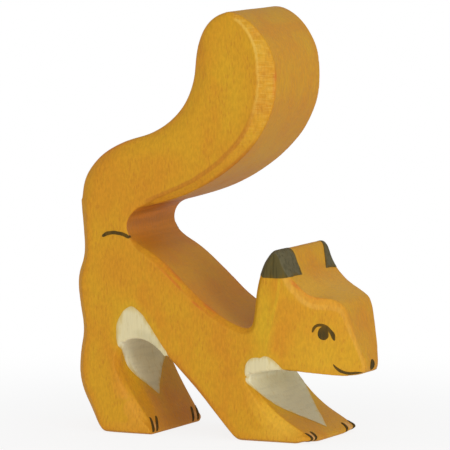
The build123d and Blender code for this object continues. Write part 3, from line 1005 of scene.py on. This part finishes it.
    def crisp_arches(self, mesh):
        """Leaves the sawn edges of the arch, the throat and the crook crisp, where no sandpaper reached."""
        for v, normal in zip(mesh.vertices, normals_of(mesh)):
            x, y, z = v.co / MM
            arch = -18.6 < x < -8.5 and 15.5 < z < 19.8
            throat = 8.0 < x < 17.0 and 11.8 < z < 15.5
            crook = 1.6 * eased(z, 35, 38) * eased(45 - z, 0, 3) * eased(-9 - x, 0, 3)
            if arch or throat:
                share = 1.0
            else:
                share = crook if x > -20 and y < 0 else 0
            away = Vector((normal[0], 0, normal[2]))
            if share > 0 and CRISP_START < abs(y) < 11.7 and away.length > 0.3:
                v.co += CRISP_EDGE * MM * share * (abs(y) - CRISP_START) / CRISP_RUN * away.normalized()

    def tail_facet(self, mesh):
        """One on the slanted facet down the front of the tail, else zero, and points on its inner edge."""
        normals = normals_of(mesh)
        across = np.abs(normals[:, 1])
        points = positions(mesh)
        facet = (across > 0.72) & (across < 0.975) & (normals[:, 0] > 0.1) & (points[:, 2] > 44 * MM)
        ends = np.empty(len(mesh.edges) * 2, dtype=np.int32)
        mesh.edges.foreach_get("vertices", ends)
        ends = ends.reshape(-1, 2)
        crossing = (facet[ends].sum(axis=1) == 1) & (across[ends].max(axis=1) > 0.976)
        return facet.astype(float), points[ends[crossing]].mean(axis=1)

    def sand(self, mesh, wood):
        """Rounds the edges, leaves faint waves and keeps the soles flat."""
        bm = bmesh.new()
        bm.from_mesh(mesh)
        rub(bm, bm.verts, wood.sanding)
        nose = [v for v in bm.verts if v.co.x > 25.2 * MM and 10 * MM < v.co.z < 17 * MM]
        rub(bm, nose, wood.nose_sanding)
        brow = [v for v in bm.verts if v.co.x > 20 * MM and 22 * MM < v.co.z < 29 * MM]
        rub(bm, brow, wood.brow_sanding)
        rear = [v for v in bm.verts if v.co.z > 44 * MM and v.co.x < rear_of_tail(v.co.z / MM) * MM]
        rub(bm, rear, wood.tail_sanding)
        bm.normal_update()
        for v in bm.verts:
            if v.co.z < 0.2 * MM:
                v.co.z = max(v.co.z, 0.0)
            else:
                v.co += v.normal * wood.unevenness * noise.noise(v.co * 220)
        bm.to_mesh(mesh)
        bm.free()


class SquirrelPaintWhite(Operator):
    """Paints the white haunch patch and the white bib, and the pale stain that shows round them."""

    bl_idname = "squirrel.paint_white"
    bl_label = "Paint the white"

    def execute(self, context):
        white = paint_material("brushed_white")
        across = (-20 * MM, 20 * MM)
        hind_leg = (-24.6 * MM, -14.2 * MM)
        foreleg = (6.9 * MM, 19.6 * MM)
        halo = 1.8 * MM
        haunch = [stencil("haunch", HAUNCH_PATCH, across)]
        haunch.append(stencil("tongue", HAUNCH_TONGUE, hind_leg, True, True))
        bib = [stencil("bib", BIB_PATCH, across)]
        bib.append(stencil("tongue", BIB_TONGUE, foreleg, True, True))
        rims = paint_mark("haunch_white", "white_haunch_patch", haunch, white)
        rims += paint_mark("bib_white", "white_bib", bib, white)
        mesh = bpy.data.objects["carved_wood"].data
        store(mesh, "halo", nearness(mesh, rims, halo))
        return {"FINISHED"}


class SquirrelPaintEars(Operator):
    """Paints the dark corners of the ear ridge."""

    bl_idname = "squirrel.paint_ears"
    bl_label = "Paint the ears"

    def execute(self, context):
        wash = paint_material("ear_wash")
        for name, corners in (("right", RIGHT_EAR), ("left", LEFT_EAR)):
            crisp = [twice for corner in corners for twice in (corner, corner)]
            prism = stencil(name, crisp, (7.5 * MM, 22 * MM), True)
            paint_mark(f"{name}_ear_dark", f"{name}_ear_tip", [prism], wash)
        return {"FINISHED"}


class SquirrelPaintFace(Operator):
    """Paints the eyes, the line of the mouth and the nose."""

    bl_idname = "squirrel.paint_face"
    bl_label = "Paint the face"

    def execute(self, context):
        dark = paint_material("brushed_dark")
        for name, side in SIDES.items():
            depth = sorted((0.0, side * 20 * MM))
            eye = stencil("lid", LID, depth), stencil("pupil", PUPIL, depth)
            paint_mark(f"{name}_eye_dark", f"{name}_eye", eye, dark)
            mouth = stencil("mouth", MOUTH, depth)
            paint_mark(f"{name}_mouth_dark", f"{name}_mouth", [mouth], dark)
        spot = stencil("nose", NOSE_SPOT, (22 * MM, 32 * MM), True)
        paint_mark("nose_dark", "nose_spot", [spot], dark)
        return {"FINISHED"}


class SquirrelPaintStrokes(Operator):
    """Paints the claws and the strokes at the crook of the tail."""

    bl_idname = "squirrel.paint_strokes"
    bl_label = "Paint the strokes"

    def execute(self, context):
        dark = paint_material("brushed_dark")
        feet = {"hind": (HIND_CLAW, (-18 * MM, -6 * MM)), "fore": (FORE_CLAW, (17.0 * MM, 24 * MM))}
        for name, side in SIDES.items():
            depth = sorted((side * (FLANK - 0.8 * MM), side * 20 * MM))
            stroke = stencil("stroke", TAIL_STROKE, depth)
            paint_mark(f"{name}_tail_dark", f"{name}_tail_stroke", [stroke], dark)
            for foot, (claw, reach) in feet.items():
                prisms = []
                for top, lean, breadth in CLAW_LINES[foot][name]:
                    stroke = [(top + lean * way + breadth * across, up) for way, across, up in claw]
                    prisms.append(stencil("claw", stroke, reach, True))
                paint_mark(f"{name}_{foot}_claws_dark", f"{name}_{foot}_claws", prisms, dark)
        return {"FINISHED"}


class SquirrelSetStage(Operator):
    """Sets up the pale floor, the soft lights and the camera."""

    bl_idname = "squirrel.set_stage"
    bl_label = "Set the stage"

    def execute(self, context):
        stage = context.scene.squirrel_stage
        context.scene.view_settings.view_transform = "Standard"
        self.floor(stage.table)
        self.surround(context.scene, stage.surround)
        self.softbox("front", (0.36, -0.95, 0.29), 0.7, stage.key)
        self.softbox("side", (0.90, -0.50, 0.14), 0.35, stage.side)
        camera = bpy.data.cameras.new("camera")
        camera.lens = stage.lens
        camera.sensor_width = 36.0
        holder = new_object("camera", camera)
        a, e = stage.azimuth, stage.elevation
        away = Vector((sin(a) * cos(e), -cos(a) * cos(e), sin(e)))
        holder.location = Vector(stage.target) + stage.distance * away
        holder.rotation_euler = away.to_track_quat("Z", "Y").to_euler()
        context.scene.camera = holder
        return {"FINISHED"}

    def floor(self, glow_share):
        """A pale glowing floor that the camera sees as white, with the figure's shadow on it."""
        mesh = bpy.data.meshes.new("floor")
        bm = bmesh.new()
        bmesh.ops.create_grid(bm, x_segments=1, y_segments=1, size=3.0)
        bm.to_mesh(mesh)
        bm.free()
        material, tree = blank_material("pale_floor")
        seen = shade(tree, "ShaderNodeLightPath").outputs["Is Camera Ray"]
        matt = shade(tree, "ShaderNodeBsdfDiffuse", {"Color": (0.85, 0.85, 0.85, 1)}).outputs[0]
        glow = shade(tree, "ShaderNodeEmission", {"Color": (1, 1, 1, 1), "Strength": 1.0}).outputs[0]
        place = shade(tree, "ShaderNodeTexCoord").outputs["Object"]
        away = shade(tree, "ShaderNodeVectorMath", {0: place}, operation="LENGTH").outputs["Value"]
        white = ramp(tree, away, 0.03, 0.14, 0.84, 1.0)
        share = shade(tree, "ShaderNodeMapRange", {0: seen, 3: glow_share, 4: white}).outputs[0]
        both = shade(tree, "ShaderNodeMixShader", {0: share, 1: matt, 2: glow}).outputs[0]
        shade(tree, "ShaderNodeOutputMaterial", {"Surface": both})
        mesh.materials.append(material)
        new_object("floor", mesh)

    def surround(self, scene, strength):
        """A white surround, plain white to the camera."""
        world = bpy.data.worlds.new("surround")
        world.use_nodes = True
        tree = world.node_tree
        tree.nodes.clear()
        path = shade(tree, "ShaderNodeLightPath").outputs
        direct = math(tree, "MAXIMUM", path["Is Camera Ray"], path["Is Transmission Ray"])
        level = ramp(tree, direct, 0.0, 1.0, strength, 1.0)
        light = shade(tree, "ShaderNodeBackground", {"Color": (1, 1, 1, 1), "Strength": level}).outputs[0]
        shade(tree, "ShaderNodeOutputWorld", {"Surface": light})
        scene.world = world

    def softbox(self, name, place, size, power):
        """A square softbox that faces the figure."""
        lamp = bpy.data.lights.new(name, "AREA")
        lamp.shape = "SQUARE"
        lamp.size = size
        lamp.energy = power
        holder = new_object(name, lamp)
        holder.location = place
        holder.rotation_euler = (Vector(place) - Vector((0, 0, 0.04))).to_track_quat("Z", "Y").to_euler()


class SquirrelPanel(Panel):
    """Lists the squirrel's steps and its values in the sidebar."""

    bl_idname = "VIEW3D_PT_squirrel"
    bl_label = "Painted squirrel"
    bl_space_type = "VIEW_3D"
    bl_region_type = "UI"
    bl_category = "Squirrel"

    def draw(self, context):
        for step in STEPS:
            self.layout.operator(step.bl_idname)
        for group in ("squirrel_wood", "squirrel_paint", "squirrel_stage"):
            values = getattr(context.scene, group)
            for name in values.bl_rna.properties.keys():
                if name not in {"rna_type", "name"}:
                    self.layout.prop(values, name)


STEPS = (
    SquirrelCarveBody,
    SquirrelPaintWhite,
    SquirrelPaintEars,
    SquirrelPaintFace,
    SquirrelPaintStrokes,
    SquirrelSetStage,
)
GROUPS = (SquirrelWood, SquirrelPaint, SquirrelStage)


def register():
    for made in (*GROUPS, *STEPS, SquirrelPanel):
        bpy.utils.register_class(made)
    bpy.types.Scene.squirrel_wood = PointerProperty(type=SquirrelWood)
    bpy.types.Scene.squirrel_paint = PointerProperty(type=SquirrelPaint)
    bpy.types.Scene.squirrel_stage = PointerProperty(type=SquirrelStage)


def unregister():
    del bpy.types.Scene.squirrel_stage
    del bpy.types.Scene.squirrel_paint
    del bpy.types.Scene.squirrel_wood
    for made in (SquirrelPanel, *reversed(STEPS), *reversed(GROUPS)):
        bpy.utils.unregister_class(made)


def main():
    register()
    bpy.ops.squirrel.carve_body()
    bpy.ops.squirrel.paint_white()
    bpy.ops.squirrel.paint_ears()
    bpy.ops.squirrel.paint_face()
    bpy.ops.squirrel.paint_strokes()
    bpy.ops.squirrel.set_stage()


if __name__ == "__main__":
    main()
